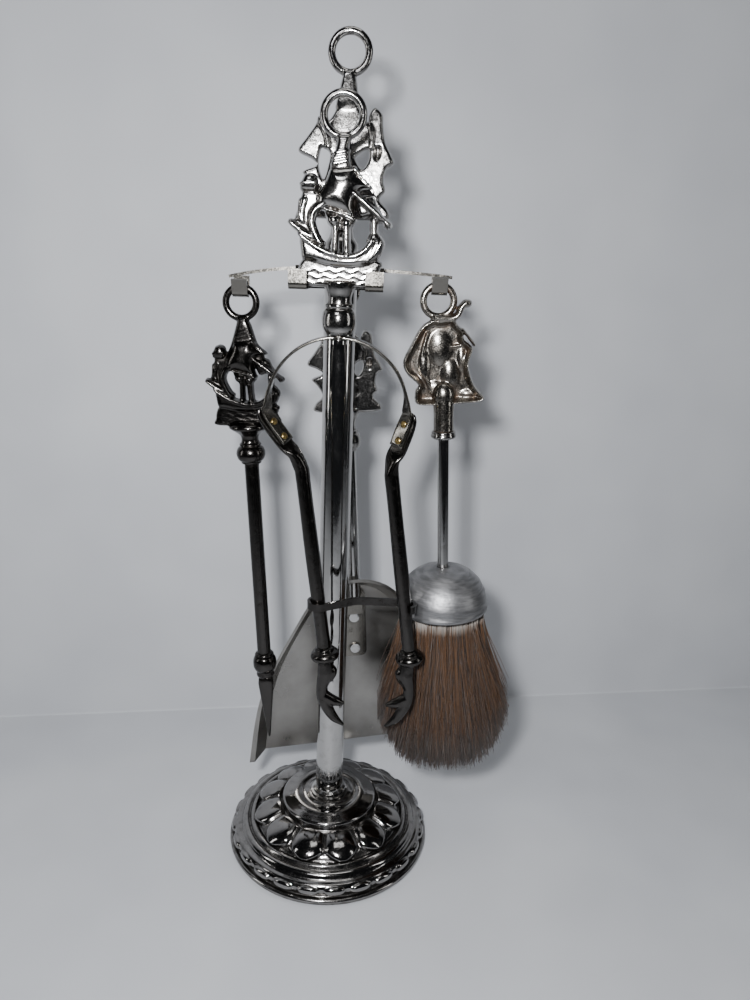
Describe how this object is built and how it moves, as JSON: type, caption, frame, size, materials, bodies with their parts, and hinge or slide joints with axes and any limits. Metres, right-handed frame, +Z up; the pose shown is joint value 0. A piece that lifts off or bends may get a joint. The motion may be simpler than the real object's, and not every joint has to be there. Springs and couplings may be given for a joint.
{
  "type": "fireplace tool set",
  "caption": "Column stand on a round domed base that hangs a poker, brush, shovel and spring tongs, each with a cast sailing-ship handle.",
  "frame": {"origin": "centre of the felt's lower face, on the floor", "axes": "+Z up along the column, -Y towards the front where the tongs hang, +X to the right with the brush"},
  "size_m": [0.1777, 0.127, 0.464],
  "materials": {
    "bright_chrome": "bright plating, slightly tarnished in the recesses",
    "satin_pan_steel": "satin plated sheet with wear",
    "hammered_aluminium": "finely hammered matt",
    "brass_rivet": "dulled brass",
    "dark_steel": "plain zinc-dulled steel",
    "bristle_fibre": "coarse brown natural fibre",
    "green_felt": "felt"
  },
  "bodies": {
    "stand": {"felt_pad": "green_felt", "base_casting": "bright_chrome", "foot_collar": "bright_chrome", "tie_rod": "dark_steel", "base_washer": "dark_steel", "base_nut": "dark_steel", "column_tube": "bright_chrome", "hanger_bar": "bright_chrome", "hanger_fork": "bright_chrome", "finial_ship": "bright_chrome"},
    "poker": {"poker_handle": "bright_chrome", "poker_collar": "bright_chrome", "poker_rod": "bright_chrome", "poker_knob": "bright_chrome", "poker_tip": "bright_chrome"},
    "brush": {"brush_handle": "bright_chrome", "brush_socket_ring": "bright_chrome", "brush_rod": "bright_chrome", "brush_dome": "hammered_aluminium", "brush_tufts": "bristle_fibre", "brush_bristles": "bristle_fibre"},
    "shovel": {"shovel_handle": "bright_chrome", "shovel_collar": "bright_chrome", "shovel_rod": "bright_chrome", "shovel_bracket": "bright_chrome", "shovel_rivets": "bright_chrome", "shovel_pan": "satin_pan_steel"},
    "tongs": {"tongs_handle": "bright_chrome", "tongs_ball": "bright_chrome", "crown_stud": "bright_chrome"},
    "left_tongs_arm": {"left_spring": "bright_chrome", "left_arm": "bright_chrome", "left_rivets": "brass_rivet", "left_collar": "bright_chrome", "left_claw": "bright_chrome", "s_link": "bright_chrome"},
    "right_tongs_arm": {"right_spring": "bright_chrome", "right_arm": "bright_chrome", "right_rivets": "brass_rivet", "right_collar": "bright_chrome", "right_claw": "bright_chrome"}
  },
  "joints": [
    {"name": "poker_lift", "type": "slide", "parent": "stand", "child": "poker", "axis": [-0.0602, -0.3811, 0.9226], "range_m": [0, 0.28]},
    {"name": "brush_lift", "type": "slide", "parent": "stand", "child": "brush", "axis": [0.4501, -0.2001, 0.8703], "range_m": [0, 0.3]},
    {"name": "shovel_lift", "type": "slide", "parent": "stand", "child": "shovel", "axis": [0, 0.38, 0.925], "range_m": [0, 0.28]},
    {"name": "tongs_lift", "type": "slide", "parent": "stand", "child": "tongs", "axis": [0, -0.6018, 0.7987], "range_m": [0, 0.28]},
    {"name": "tongs_left_swing", "type": "hinge", "parent": "tongs", "child": "left_tongs_arm", "pos_m": [0.0013, -0.031, 0.322], "axis": [0, -1, 0], "range_deg": [0, 1.5]},
    {"name": "tongs_right_swing", "type": "hinge", "parent": "tongs", "child": "right_tongs_arm", "pos_m": [0.0013, -0.031, 0.322], "axis": [0, -1, 0], "range_deg": [-1.5, 0]}
  ],
  "couplings": [
    {"joint": "tongs_right_swing", "follows": "tongs_left_swing", "ratio": -1}
  ]
}
